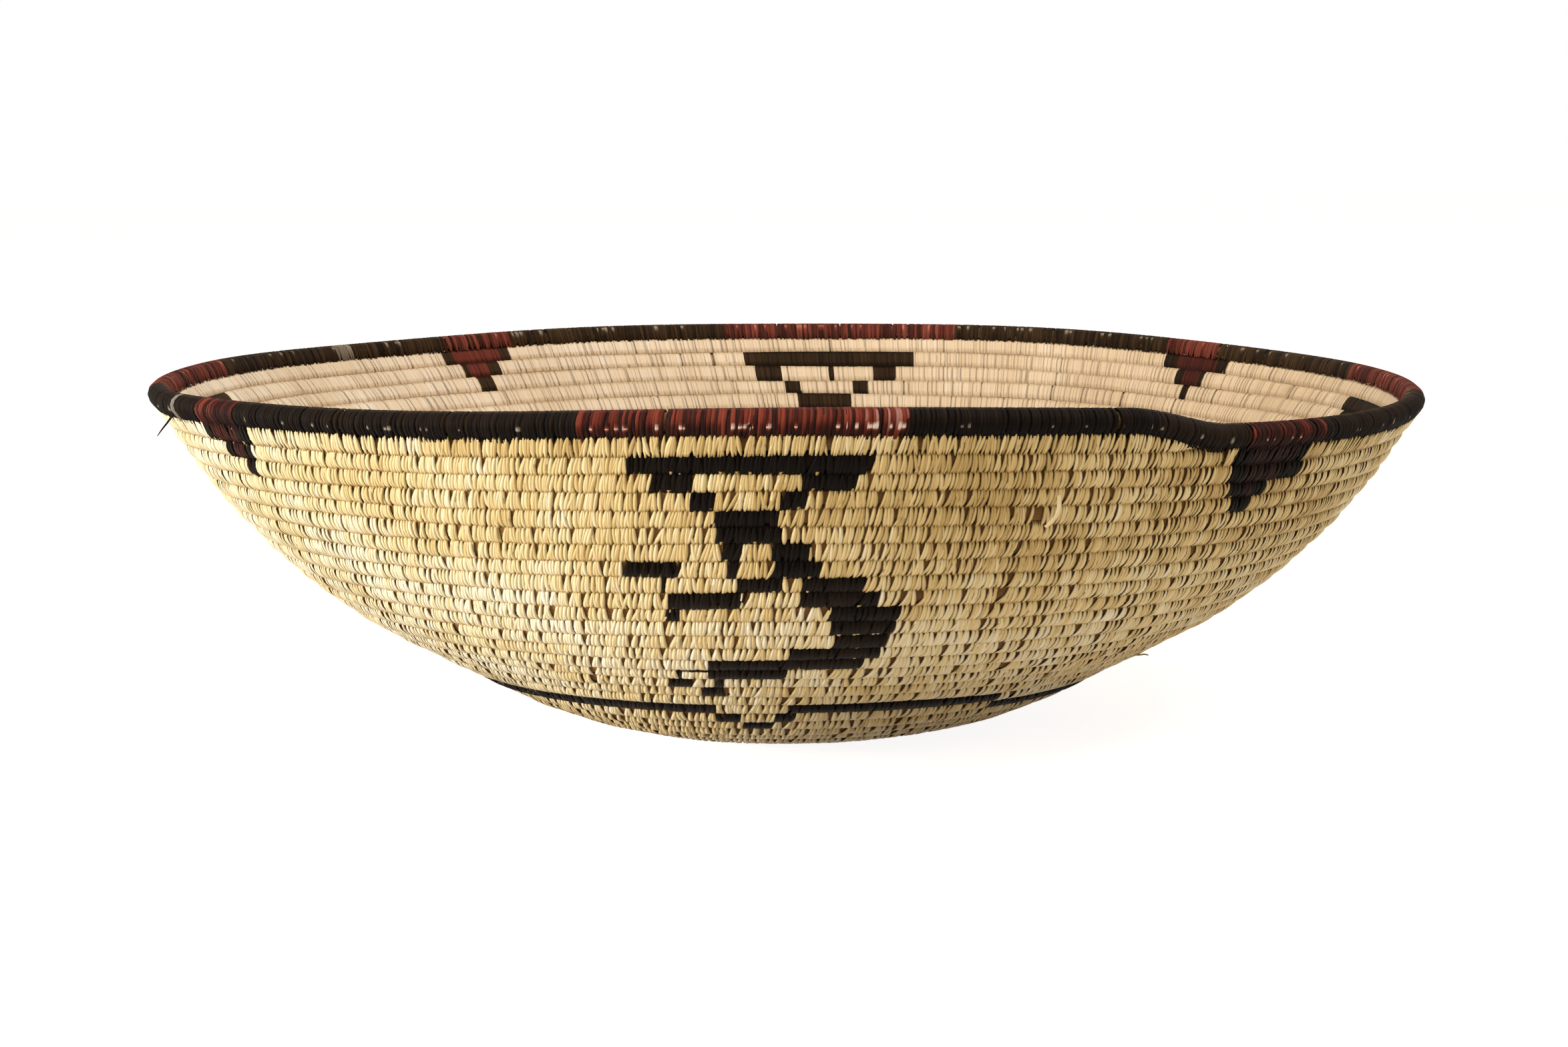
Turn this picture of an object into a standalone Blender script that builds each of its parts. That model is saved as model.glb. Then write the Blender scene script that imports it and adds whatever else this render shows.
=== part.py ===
"""A wide, shallow bowl of coiled basketry, standing on its small flat base.

A bundle of grass stems spirals out from a start knot, and each turn is sewn to the one before it.
The top coil is a separate bundle, wrapped in black and red strands that form sixteen bands.
Every solid is laid out in the coordinates of the bowl's wall: the arc length from the centre, the
height over the middle of the wall, and the azimuth. Metres, +Z up; azimuth 0 is the front, -Y, and
azimuth 90 is +X.
"""
import math

import bmesh
import bpy
import numpy as np

# The bowl
RIM_RADIUS = 0.200           # middle of the rim coil, from the axis
FLAT_BASE_RADIUS = 0.034     # the part of the base that lies flat
WALL_THICKNESS = 0.0056      # a stem bundle with its sewing
OVAL_LIFT = 0.0023           # front and back of the rim stand this much high, the sides as much low
SIDE_LIFT = 0.0012           # the left side of the rim stands this much high, the right as much low
# (share of the way from the flat base to the rim, slope of the wall in degrees)
WALL_SLOPES = ((0.0, 7.0), (0.1, 11.0), (0.2, 19.5), (0.3, 28.5), (0.5, 28.5), (0.6, 38.0), (0.8, 49.5),
               (1.0, 61.0))

# The coil
BASE_PITCH = 0.0081          # width of a course at the centre of the base
RIM_PITCH = 0.0058           # width of a course under the rim
SMALLEST_KNOT = 0.0045       # least radius of the start knot
SPLICE_AZIMUTH = 37.5        # where the coil ends, and where each turn is counted from
RUN_OUT = 11.0               # degrees over which the last turn thins away under the rim
THINNEST_END = 0.0009        # the last turn is cut off where it is this thin
THICKEST_END = 2.0           # and stays no thicker across the wall than this many times its width
SHOULDER = 0.54              # flat share of a course's width, inside and outside
KNOT_CHAMFER = 0.00196       # how far the knot's faces draw in from its edge

# The rim
RIM_HEIGHT = 0.0064          # along the wall, over the wrapping
RIM_WIDTH = 0.0068           # across the wall, over the wrapping
STRAND_THICKNESS = 0.0011    # the wrapping strands
RIM_BANDS = (                # name, azimuth where it starts, colour
    ("front_red", -16.2, "red"), ("front_black_right", 8.8, "black"),
    ("front_right_red", 39.2, "red"), ("right_black_front", 49.0, "black"),
    ("right_red", 80.6, "red"), ("right_black_back", 105.0, "black"),
    ("back_right_red", 128.0, "red"), ("back_black_right", 135.4, "black"),
    ("back_red", 161.2, "red"), ("back_black_left", 187.1, "black"),
    ("back_left_red", 211.7, "red"), ("left_black_back", 220.2, "black"),
    ("left_red", 255.0, "red"), ("left_black_front", 279.4, "black"),
    ("front_left_red", 301.6, "red"), ("front_black_left", 308.7, "black"),
)

# Loose ends of sewing strand: name, azimuth, arc below the rim's middle, length, thickness, colour
LOOSE_ENDS = (
    ("loose_end_left", -65.0, 0.0, 0.0080, 0.0008, "black"),
    ("loose_end_front_right", 22.0, 0.0235, 0.0065, 0.0007, "straw"),
    ("loose_end_low_right", 66.0, 0.115, 0.0070, 0.0007, "straw"),
)
LOOSE_END_LIFT = 0.35        # how far a loose end's tip stands off, as a share of its length
LOOSE_END_TIP = 0.5          # the tip's thickness, as a share of the strand's
LOOSE_END_STEPS = 6
LOOSE_END_SIDES = 6

GAP = 0.0003                 # between pieces that touch on the real basket
FINE_STEP = 10.0             # degrees between the sections of a course
COARSE_STEP = 20.0           # the same near the centre
COARSE_RADIUS = 0.040        # where the finer step begins
SLIVER = 0.02                # a section this share of a step from a turn's end is left out
RIM_CORNERS = 8              # of the oval across the rim
LINE_COURSE_FROM_RIM = 20    # the course that is sewn in black all round

COLOURS = {                  # linear red, green, blue, then roughness
    "straw": ((0.66, 0.50, 0.25), 0.70),
    "black": ((0.013, 0.010, 0.009), 0.62),
    "red": ((0.16, 0.028, 0.020), 0.64),
    "stems": ((0.50, 0.38, 0.20), 0.80),
}
PROFILE_STEPS = 600


def clear_scene():
    for item in list(bpy.data.objects):
        bpy.data.objects.remove(item, do_unlink=True)


def make_material(name):
    colour, roughness = COLOURS[name]
    material = bpy.data.materials.new(name)
    material.use_nodes = True
    shader = material.node_tree.nodes["Principled BSDF"]
    shader.inputs["Base Color"].default_value = (*colour, 1.0)
    shader.inputs["Roughness"].default_value = roughness
    shader.inputs["Metallic"].default_value = 0.0
    material.diffuse_color = (*colour, 1.0)
    return material


class Bowl:
    """The middle surface of the wall, from the centre of the base to the rim."""

    def __init__(self):
        shares, slopes = zip(*WALL_SLOPES)
        steps = np.linspace(0.0, 1.0, PROFILE_STEPS)
        slope = np.radians(np.interp(steps, shares, slopes))
        run = self.add_up(np.cos(slope), steps)
        rise = self.add_up(np.sin(slope), steps)
        wall_arc = (RIM_RADIUS - FLAT_BASE_RADIUS) / run[-1]
        self.full_arc = FLAT_BASE_RADIUS + wall_arc
        self.arc = FLAT_BASE_RADIUS + wall_arc * steps
        self.radius = FLAT_BASE_RADIUS + wall_arc * run
        self.height = WALL_THICKNESS / 2 + wall_arc * rise
        self.slope = slope

    @staticmethod
    def add_up(values, steps):
        middles = (values[1:] + values[:-1]) / 2 * np.diff(steps)
        return np.concatenate(([0.0], np.cumsum(middles)))

    def point(self, arc, off, azimuth):
        """The point at an arc length, off the middle surface by off (outwards and down)."""
        if arc <= FLAT_BASE_RADIUS:
            radius, height, slope = arc, WALL_THICKNESS / 2, 0.0
        else:
            slope = float(np.interp(arc, self.arc, self.slope))
            past = max(arc - self.full_arc, 0.0)
            radius = float(np.interp(arc, self.arc, self.radius)) + past * math.cos(slope)
            height = float(np.interp(arc, self.arc, self.height)) + past * math.sin(slope)
        up_the_wall = max(arc - FLAT_BASE_RADIUS, 0.0) / (self.full_arc - FLAT_BASE_RADIUS)
        angle = math.radians(azimuth)
        height += up_the_wall ** 2 * (OVAL_LIFT * math.cos(2 * angle) - SIDE_LIFT * math.sin(angle))
        radius += off * math.sin(slope)
        height -= off * math.cos(slope)
        return (radius * math.sin(angle), -radius * math.cos(angle), height)


class Coil:
    """The seams between the courses: seam(n) is the arc at n turns from the knot."""

    def __init__(self, bowl):
        mean_pitch = BASE_PITCH + (RIM_PITCH - BASE_PITCH) / 3
        rim_seat = RIM_HEIGHT / 2 + GAP
        room = bowl.full_arc - rim_seat - SMALLEST_KNOT - RIM_PITCH / 2
        self.turns = int(room / mean_pitch)
        self.knot = 0.0
        self.knot = bowl.full_arc - rim_seat - self.seam(self.turns + 0.5)

    def seam(self, turn):
        narrowing = (RIM_PITCH - BASE_PITCH) * turn ** 3 / (3 * self.turns ** 2)
        return self.knot + BASE_PITCH * turn + narrowing

    def rim_seat(self, share):
        """The arc of the wall's top edge, at a share of the turn past the splice."""
        start = 1.0 - RUN_OUT / 360.0
        fall = min(max((share - start) / (1.0 - start), 0.0), 1.0)
        fall = fall * fall * (3 - 2 * fall)
        return self.seam(self.turns + share * (1.0 - fall))


def course_section(low, high):
    """Six corners of a course between two seams: flat faces in and out, edges at the seams."""
    low += GAP / 2
    high -= GAP / 2
    middle = (low + high) / 2
    flat = (high - low) * SHOULDER / 2
    half = min(WALL_THICKNESS, THICKEST_END * (high - low)) / 2
    return [(low, 0.0), (middle - flat, half), (middle + flat, half),
            (high, 0.0), (middle + flat, -half), (middle - flat, -half)]


def oval_section(middle, height, width):
    """The corners of an oval across the wall, with a flat side at its top, bottom, front and back."""
    half_side = math.pi / RIM_CORNERS
    turn = [half_side * (2 * corner + 1) for corner in range(RIM_CORNERS)]
    grow = 1.0 / math.cos(half_side)
    return [(middle - height / 2 * grow * math.cos(a), width / 2 * grow * math.sin(a)) for a in turn]


def add_object(name, verts, faces, material):
    mesh = bpy.data.meshes.new(name)
    mesh.from_pydata(verts, [], faces)
    work = bmesh.new()
    work.from_mesh(mesh)
    bmesh.ops.recalc_face_normals(work, faces=work.faces)
    work.to_mesh(mesh)
    work.free()
    mesh.materials.append(material)
    item = bpy.data.objects.new(name, mesh)
    bpy.context.scene.collection.objects.link(item)
    return item


def join_rings(rings):
    """Side faces between one closed ring of corners and the next."""
    count = len(rings[0])
    faces = []
    for ring in range(len(rings) - 1):
        for corner in range(count):
            after = (corner + 1) % count
            faces.append((ring * count + corner, ring * count + after,
                          (ring + 1) * count + after, (ring + 1) * count + corner))
    return faces


def add_swept(name, rings, material):
    """A solid through a row of rings, with flat ends."""
    count = len(rings[0])
    verts = [corner for ring in rings for corner in ring]
    faces = join_rings(rings)
    last = (len(rings) - 1) * count
    faces.append(tuple(range(count)))
    faces.append(tuple(last + corner for corner in range(count)))
    return add_object(name, verts, faces, material)


def between(ring_a, ring_b, share):
    """The ring on the straight run from one ring to the next, so that it stays on their faces."""
    return [tuple(a + (b - a) * share for a, b in zip(p, q)) for p, q in zip(ring_a, ring_b)]


def rings_of_turn(bowl, section, start, end, step):
    """Rings at even steps from the splice, with the two ends cut on the straight runs."""
    def ring(share):
        azimuth = SPLICE_AZIMUTH + 360.0 * share
        return [bowl.point(arc, off, azimuth) for arc, off in section(share)]

    def cut(degrees):
        below = math.floor(degrees / step) * step
        part = (degrees - below) / step
        return between(ring(below / 360.0), ring((below + step) / 360.0), part)

    first = math.floor(start / step) * step + step
    stations = np.arange(first, end - SLIVER * step, step)
    return [cut(start)] + [ring(station / 360.0) for station in stations] + [cut(end)]


def half_gap_in_degrees(radius):
    return math.degrees(GAP / 2 / radius)


def make_start_knot(bowl, coil, material):
    """A flat button whose edge spirals, so that the first turn starts against its step."""
    count = int(360 / COARSE_STEP)
    half = WALL_THICKNESS / 2
    rings = []
    for inset, off in ((KNOT_CHAMFER, half), (0.0, 0.0), (KNOT_CHAMFER, -half)):
        ring = []
        for station in range(count + 1):
            share = station / count
            edge = coil.seam(share) - GAP / 2 - inset
            ring.append(bowl.point(edge, off, SPLICE_AZIMUTH + 360.0 * share))
        ring[-1] = bowl.point(coil.seam(1.0) - GAP / 2 - inset, off,
                              SPLICE_AZIMUTH - half_gap_in_degrees(coil.seam(0.5)))
        rings.append(ring)
    add_swept("start_knot", rings, material)


def make_courses(bowl, coil, straw, black):
    """One solid for each turn of the coil; the last one thins away under the rim."""
    for turn in range(coil.turns):
        closing = turn == coil.turns - 1

        def section(share, turn=turn, closing=closing):
            low = coil.seam(turn + share)
            high = coil.rim_seat(share) if closing else coil.seam(turn + 1 + share)
            return course_section(low, high)

        middle = coil.seam(turn + 0.5)
        radius = math.hypot(*bowl.point(middle, 0.0, 0.0)[:2])
        step = COARSE_STEP if radius < COARSE_RADIUS else FINE_STEP
        trim = half_gap_in_degrees(radius)
        end = 360.0 - trim
        if closing:
            last_step_width = coil.rim_seat(1.0 - step / 360.0) - coil.seam(turn + 1.0 - step / 360.0)
            end = 360.0 - step * THINNEST_END / last_step_width
        rings = rings_of_turn(bowl, section, trim, end, step)
        name = "closing_course" if closing else "course_%02d" % (turn + 1)
        lined = coil.turns - turn == LINE_COURSE_FROM_RIM
        add_swept(name, rings, black if lined else straw)


def rim_middle(coil, share):
    return coil.rim_seat(share) + GAP / 2 + RIM_HEIGHT / 2


def make_rim_bundle(bowl, coil, material):
    """The stems inside the rim, one turn from the splice back to it."""
    height = RIM_HEIGHT - 2 * STRAND_THICKNESS - 2 * GAP
    width = RIM_WIDTH - 2 * STRAND_THICKNESS - 2 * GAP
    trim = half_gap_in_degrees(RIM_RADIUS)

    def section(share):
        return oval_section(rim_middle(coil, share), height, width)

    rings = rings_of_turn(bowl, section, trim, 360.0 - trim, FINE_STEP)
    add_swept("rim_stem_bundle", rings, material)


def make_rim_band(bowl, coil, name, start, end, material):
    """A sleeve of strand wound round the rim's stems, open at both ends."""
    def outer(share):
        return oval_section(rim_middle(coil, share % 1.0), RIM_HEIGHT, RIM_WIDTH)

    def inner(share):
        return oval_section(rim_middle(coil, share % 1.0), RIM_HEIGHT - 2 * STRAND_THICKNESS,
                            RIM_WIDTH - 2 * STRAND_THICKNESS)

    trim = half_gap_in_degrees(RIM_RADIUS)
    outer_rings = rings_of_turn(bowl, outer, start + trim, end - trim, FINE_STEP)
    inner_rings = rings_of_turn(bowl, inner, start + trim, end - trim, FINE_STEP)
    count = len(outer_rings[0])
    verts = [corner for ring in outer_rings + inner_rings for corner in ring]
    shift = len(outer_rings) * count
    faces = join_rings(outer_rings)
    faces += [tuple(shift + corner for corner in face) for face in join_rings(inner_rings)]
    for ring in (0, len(outer_rings) - 1):
        for corner in range(count):
            after = (corner + 1) % count
            here, there = ring * count + corner, ring * count + after
            faces.append((here, there, shift + there, shift + here))
    add_object(name, verts, faces, material)


def make_rim_bands(bowl, coil, materials):
    for index, (name, start, colour) in enumerate(RIM_BANDS):
        following = RIM_BANDS[(index + 1) % len(RIM_BANDS)][1]
        length = (following - start) % 360.0
        begin = (start - SPLICE_AZIMUTH) % 360.0
        make_rim_band(bowl, coil, "rim_wrap_" + name, begin, begin + length, materials[colour])


def make_loose_end(bowl, name, azimuth, below, length, thickness, material):
    """A short bare end of strand that leaves its stitch and bends away from the wall."""
    on_rim = below == 0.0
    seat = (RIM_WIDTH if on_rim else WALL_THICKNESS) / 2 + GAP + thickness / 2
    rings = []
    for step in range(LOOSE_END_STEPS + 1):
        share = step / LOOSE_END_STEPS
        arc = bowl.full_arc - below - length * share
        off = seat + length * LOOSE_END_LIFT * share ** 2
        radius = thickness / 2 * (1.0 - (1.0 - LOOSE_END_TIP) * share)
        ring = []
        for side in range(LOOSE_END_SIDES):
            angle = 2 * math.pi * side / LOOSE_END_SIDES
            turn = math.degrees(radius * math.cos(angle) / RIM_RADIUS)
            ring.append(bowl.point(arc, off + radius * math.sin(angle), azimuth + turn))
        rings.append(ring)
    add_swept(name, rings, material)


def main():
    clear_scene()
    materials = {name: make_material(name) for name in COLOURS}
    bowl = Bowl()
    coil = Coil(bowl)
    make_start_knot(bowl, coil, materials["straw"])
    make_courses(bowl, coil, materials["straw"], materials["black"])
    make_rim_bundle(bowl, coil, materials["stems"])
    make_rim_bands(bowl, coil, materials)
    for name, azimuth, below, length, thickness, colour in LOOSE_ENDS:
        make_loose_end(bowl, name, azimuth, below, length, thickness, materials[colour])
    print("turns %d, knot radius %.1f mm, arc %.1f mm" % (coil.turns, coil.knot * 1e3, bowl.full_arc * 1e3))


main()
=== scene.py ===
# The looks of a coiled basket bowl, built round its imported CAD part.
# Every stitch is a strand of its own, wrapped round the bundle of stems and caught in the turn below.
import math

import bpy
import numpy as np
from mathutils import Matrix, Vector


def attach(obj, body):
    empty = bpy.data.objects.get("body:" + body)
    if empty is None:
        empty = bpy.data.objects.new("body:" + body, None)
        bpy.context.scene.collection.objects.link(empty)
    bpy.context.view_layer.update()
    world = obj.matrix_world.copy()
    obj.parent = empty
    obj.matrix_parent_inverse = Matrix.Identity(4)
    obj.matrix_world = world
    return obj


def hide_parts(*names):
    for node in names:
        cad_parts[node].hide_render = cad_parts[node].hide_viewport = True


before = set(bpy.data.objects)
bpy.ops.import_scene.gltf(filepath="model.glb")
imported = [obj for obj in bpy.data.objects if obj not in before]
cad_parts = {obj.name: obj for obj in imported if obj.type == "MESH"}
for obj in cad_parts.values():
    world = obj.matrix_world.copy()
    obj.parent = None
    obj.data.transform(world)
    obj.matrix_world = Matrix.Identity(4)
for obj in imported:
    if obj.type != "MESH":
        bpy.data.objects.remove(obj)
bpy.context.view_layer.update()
chance = np.random.default_rng(28)


# Small helpers
def linearColour(hexColour):
    # each sRGB share c becomes c / 12.92 up to 0.04045 and ((c + 0.055) / 1.055) ^ 2.4 above it
    shares = [int(hexColour[i:i + 2], 16) / 255 for i in (1, 3, 5)]
    return (*[c / 12.92 if c <= 0.04045 else ((c + 0.055) / 1.055) ** 2.4 for c in shares], 1.0)


def addNode(tree, kind, inputs=None, **settings):
    # a node with its settings; inputs are numbers, colours, outputs, or nodes that give their first output
    made = tree.nodes.new("ShaderNode" + kind)
    for key, value in settings.items():
        setattr(made, key, value)
    for key, value in (inputs or {}).items():
        if isinstance(value, bpy.types.Node):
            value = value.outputs[0]
        if isinstance(value, bpy.types.NodeSocket):
            tree.links.new(value, made.inputs[key])
        else:
            made.inputs[key].default_value = value
    return made


def emptyTree(owner):
    owner.use_nodes = True
    owner.node_tree.nodes.clear()
    return owner.node_tree


def placeObject(name, content):
    made = bpy.data.objects.new(name, content)
    bpy.context.scene.collection.objects.link(made)
    return made


def smoothStep(x):
    # 3x^2 - 2x^3 between 0 and 1
    x = np.clip(x, 0, 1)
    return x * x * (3 - 2 * x)


def degreesAside(azimuth, middle):
    # from -180 to 180, and above 0 where the azimuth lies past the middle one
    return (azimuth - middle + 180) % 360 - 180


def between(at, start, end):
    return (at > start) & (at < end)


def waveSum(waves, way, grows=1):
    # the sum of share sin(rate way + shift grows), where each wave has a rate, a shift and a share
    return sum(share * np.sin(rate * way + shift * grows) for rate, shift, share in waves)


millimetres = 1000   # in a metre
tiny = 1e-9          # added to lengths that may be nothing


# The bowl's wall: arc is the way along it from the centre, off the way out of its middle surface
bowl = {
    "rimRadius": 0.200,
    "flatRadius": 0.034,  # the base lies flat inside this
    "wall": 0.0056,       # a stem bundle with its sewing
    "ovalLift": 0.0023,   # front and back of the rim stand higher than the sides
    "sideLift": 0.0012,   # and its left side higher than its right
    "slopes": ((0, 7), (0.1, 11), (0.2, 19.5), (0.3, 28.5), (0.5, 28.5), (0.6, 38), (0.8, 49.5), (1, 61)),
    "handmadeLift": 0.0005,  # slow waves of the wall's height
    "liftWaves": ((3, 0.6, 1), (7, 2.0, 0.6)),  # how many go round, shift, share
    "handmadeSwell": 0.0006,  # and of its radius
    "swellWaves": ((2, 9, 1), (5, -14, 0.7)),  # the same, but the shift grows up to the rim
    "sagAzimuth": 45,     # here the wall has sagged
    "sagReach": 22,       # degrees to either side
    "sagDepth": 0.0025,   # at the rim
}
wallShares = np.linspace(0, 1, 600)
wallSlope = np.radians(np.interp(wallShares, *np.array(bowl["slopes"]).T))


def addUp(values):
    # the running integral over wallShares, by the trapezium rule
    return np.append(0, np.cumsum((values[1:] + values[:-1]) / 2 * np.diff(wallShares)))


wallLength = (bowl["rimRadius"] - bowl["flatRadius"]) / addUp(np.cos(wallSlope))[-1]
wallArc = bowl["flatRadius"] + wallLength * wallShares
wallRadius = bowl["flatRadius"] + wallLength * addUp(np.cos(wallSlope))
wallHeight = bowl["wall"] / 2 + wallLength * addUp(np.sin(wallSlope))
fullArc = wallArc[-1]


def wallPoints(arc, off, azimuth):
    # radius = r(arc) + swell up + off sin(slope) and height = z(arc) + (lifts - sag) up^2 - off cos(slope),
    # where up is the share of the way up the wall; past its top edge the wall runs on straight
    onBase = arc <= bowl["flatRadius"]
    slope = np.where(onBase, 0, np.interp(arc, wallArc, wallSlope))
    past = np.maximum(arc - fullArc, 0)
    radius = np.where(onBase, arc, np.interp(arc, wallArc, wallRadius)) + past * np.cos(slope)
    height = np.interp(arc, wallArc, wallHeight) + past * np.sin(slope)
    up = np.maximum(arc - bowl["flatRadius"], 0) / wallLength
    turn = np.radians(azimuth)
    height = height + up ** 2 * (bowl["ovalLift"] * np.cos(2 * turn) - bowl["sideLift"] * np.sin(turn))
    height = height + bowl["handmadeLift"] * up ** 2 * waveSum(bowl["liftWaves"], turn)
    aside = degreesAside(azimuth, bowl["sagAzimuth"])
    height = height - bowl["sagDepth"] * up ** 2 * np.exp(-(aside / bowl["sagReach"]) ** 2)
    radius = radius + bowl["handmadeSwell"] * up * waveSum(bowl["swellWaves"], turn, up)
    radius = radius + off * np.sin(slope)
    height = height - off * np.cos(slope)
    return np.stack([radius * np.sin(turn), -radius * np.cos(turn), height], -1)


def radiusAt(arc):
    return np.interp(arc, np.append(0, wallArc), np.append(0, wallRadius))


# The coil: seam(n) is the arc of the seam at n turns from the start knot
coil = {
    "basePitch": 0.0081,    # width of a course at the centre
    "rimPitch": 0.0058,     # and under the rim
    "turns": 31,
    "spliceAzimuth": 37.5,
    "runOut": 11,           # degrees over which the last turn thins away
    "seamWander": 0.00022,  # how far a seam strays
    "seamWaves": ((3.37, 0, 1), (7.81, 1, 1), (13.3, 0, 0.6)),  # waves to a turn, shift, share
    "seamSettles": 1.5,     # turns below the rim, where it strays less and less
    "rimHeight": 0.0064,
    "rimWidth": 0.0068,
    "gap": 0.0003,
}
rimSeatBelow = coil["rimHeight"] / 2 + coil["gap"]


def plainSeam(n):
    # the pitch falls from basePitch to rimPitch with the square of the turns
    return coil["basePitch"] * n + (coil["rimPitch"] - coil["basePitch"]) * n ** 3 / (3 * coil["turns"] ** 2)


# what is left in the middle when all turns are laid
knotRadius = fullArc - rimSeatBelow - plainSeam(coil["turns"] + 0.5)


def seam(n):
    # the plain seam + wander times the sum of share sin(2 pi rate n + shift), which fades towards the rim
    wave = sum(share * np.sin(math.tau * rate * n + shift) for rate, shift, share in coil["seamWaves"])
    fade = np.clip((coil["turns"] - n) / coil["seamSettles"], 0, 1)
    return knotRadius + plainSeam(n) + coil["seamWander"] * wave * fade


def rimSeat(share):
    # the wall's top edge: it falls back to the seam below it over the run-out
    fall = smoothStep((share - (1 - coil["runOut"] / 360)) / (coil["runOut"] / 360))
    return knotRadius + plainSeam(coil["turns"] + share * (1 - fall))


def azimuthAt(share):
    return coil["spliceAzimuth"] + 360 * share


def rimMiddle(azimuth):
    share = ((azimuth - coil["spliceAzimuth"]) / 360) % 1
    return rimSeat(share) + coil["gap"] / 2 + coil["rimHeight"] / 2


# The chart of the dyed stitches. Courses are counted down from the rim, and spans are in millimetres
# to the right of a figure's middle, seen from outside.
figure = {
    "middles": (-3.3, 92.8, 175.3, 267.0),
    "black": {
        2: ((-32, 32),), 3: ((-26, -15), (13, 28)), 4: ((-16, -9), (7.5, 14.5)),
        5: ((-10, 7),), 6: ((-10, 7),), 7: ((-8.5, -3.5), (5, 14.5)),
        8: ((-36, -20.5), (-8, -5.5), (4.5, 17)), 9: ((-26, -24), (-5.5, 7), (11.5, 28)),
        10: ((-24.5, -4.5), (11, 32)), 11: ((-25, -21.5), (18.5, 37.5)), 12: ((18.5, 36),),
        13: ((19, 33.5),), 14: ((7, 31),), 15: ((-15.5, 26),), 16: ((-25.5, -23.5), (-16, 5.5)),
        17: ((-28.5, -21.5), (-14.5, -12)), 18: ((-19, -12.5),),
        21: ((-15.5, -9), (0, 5)), 22: ((-9.5, -0.5),),
    },
    "atBack": 2,         # this figure differs a little in its upper rows
    "backRows": {3: ((-24.6, -16.4), (17.6, 26.8)), 4: ((-16, -9), (11, 16.8)), 5: ((-9.6, 11.6),)},
    "ringCourse": 20,
    "ringOpen": (-15, 5.5),  # the ring line dips under a figure here
    "tick": (3, -2, 0),  # course and span, on all but the front figure
    "hook": (16, -25.5, -15.5),  # course and span of straw stitches with black tops
}
triangles = (   # middle azimuth, then for each course: black from, to, red from, to
    (43.2, {1: (-17, 16, -10, 11), 2: (-14, 18, -8, 8), 3: (-11, 5, -4, 0), 4: (-6, 1.5, 0, 0)}),
    (130.6, {1: (-14.5, 14.5, -9, 9), 2: (-6.5, 7, -3.5, 3.5), 3: (-1.5, 2.5, 0, 0)}),
    (216.3, {1: (-14, 14, -9.5, 10.5), 2: (-7.5, 8, -4, 5), 3: (-3.5, 2, -1, 0)}),
    (-55.5, {1: (-10, 17.5, -4, 11), 2: (-2.5, 13, 2, 9), 3: (5, 9.5, 0, 0)}),
)
rimBands = (   # name, azimuth where it starts
    ("front_red", -16.2), ("front_black_right", 8.8), ("front_right_red", 39.2), ("right_black_front", 49.0),
    ("right_red", 80.6), ("right_black_back", 105.0), ("back_right_red", 128.0), ("back_black_right", 135.4),
    ("back_red", 161.2), ("back_black_left", 187.1), ("back_left_red", 211.7), ("left_black_back", 220.2),
    ("left_red", 255.0), ("left_black_front", 279.4), ("front_left_red", 301.6), ("front_black_left", 308.7),
)
straw, black, red, stems = range(4)   # the strand materials, in slot order
sewingSlots = ("straw_sewing", "black_sewing", "red_sewing")


def millimetresFrom(azimuth, middle, radius):
    return degreesAside(azimuth, middle) * math.pi / 180 * radius * millimetres


def dyeOfStitches(fromRim, azimuth, radius):
    # straw, black or red for each stitch, and which of the straw ones have black tops
    dye = np.full(len(azimuth), straw)
    topOnly = np.zeros(len(azimuth), bool)
    onRing = fromRim == figure["ringCourse"]
    if onRing:
        dye[:] = black
    tickCourse, tickFrom, tickTo = figure["tick"]
    hookCourse, hookFrom, hookTo = figure["hook"]
    for index, middle in enumerate(figure["middles"]):
        at = millimetresFrom(azimuth, middle, radius)
        spans = figure["black"].get(fromRim, ())
        if index == figure["atBack"]:
            spans = figure["backRows"].get(fromRim, spans)
        for start, end in spans:
            dye[between(at, start, end)] = black
        if onRing:
            dye[between(at, *figure["ringOpen"])] = straw
        if index and fromRim == tickCourse:
            dye[between(at, tickFrom, tickTo)] = black
        if fromRim == hookCourse:
            topOnly |= between(at, hookFrom, hookTo) & (dye == straw)
    for middle, rows in triangles:
        if fromRim in rows:
            at = millimetresFrom(azimuth, middle, radius)
            start, end, redStart, redEnd = rows[fromRim]
            dye[between(at, start, end)] = black
            dye[between(at, redStart, redEnd)] = red
    return dye, topOnly


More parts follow.
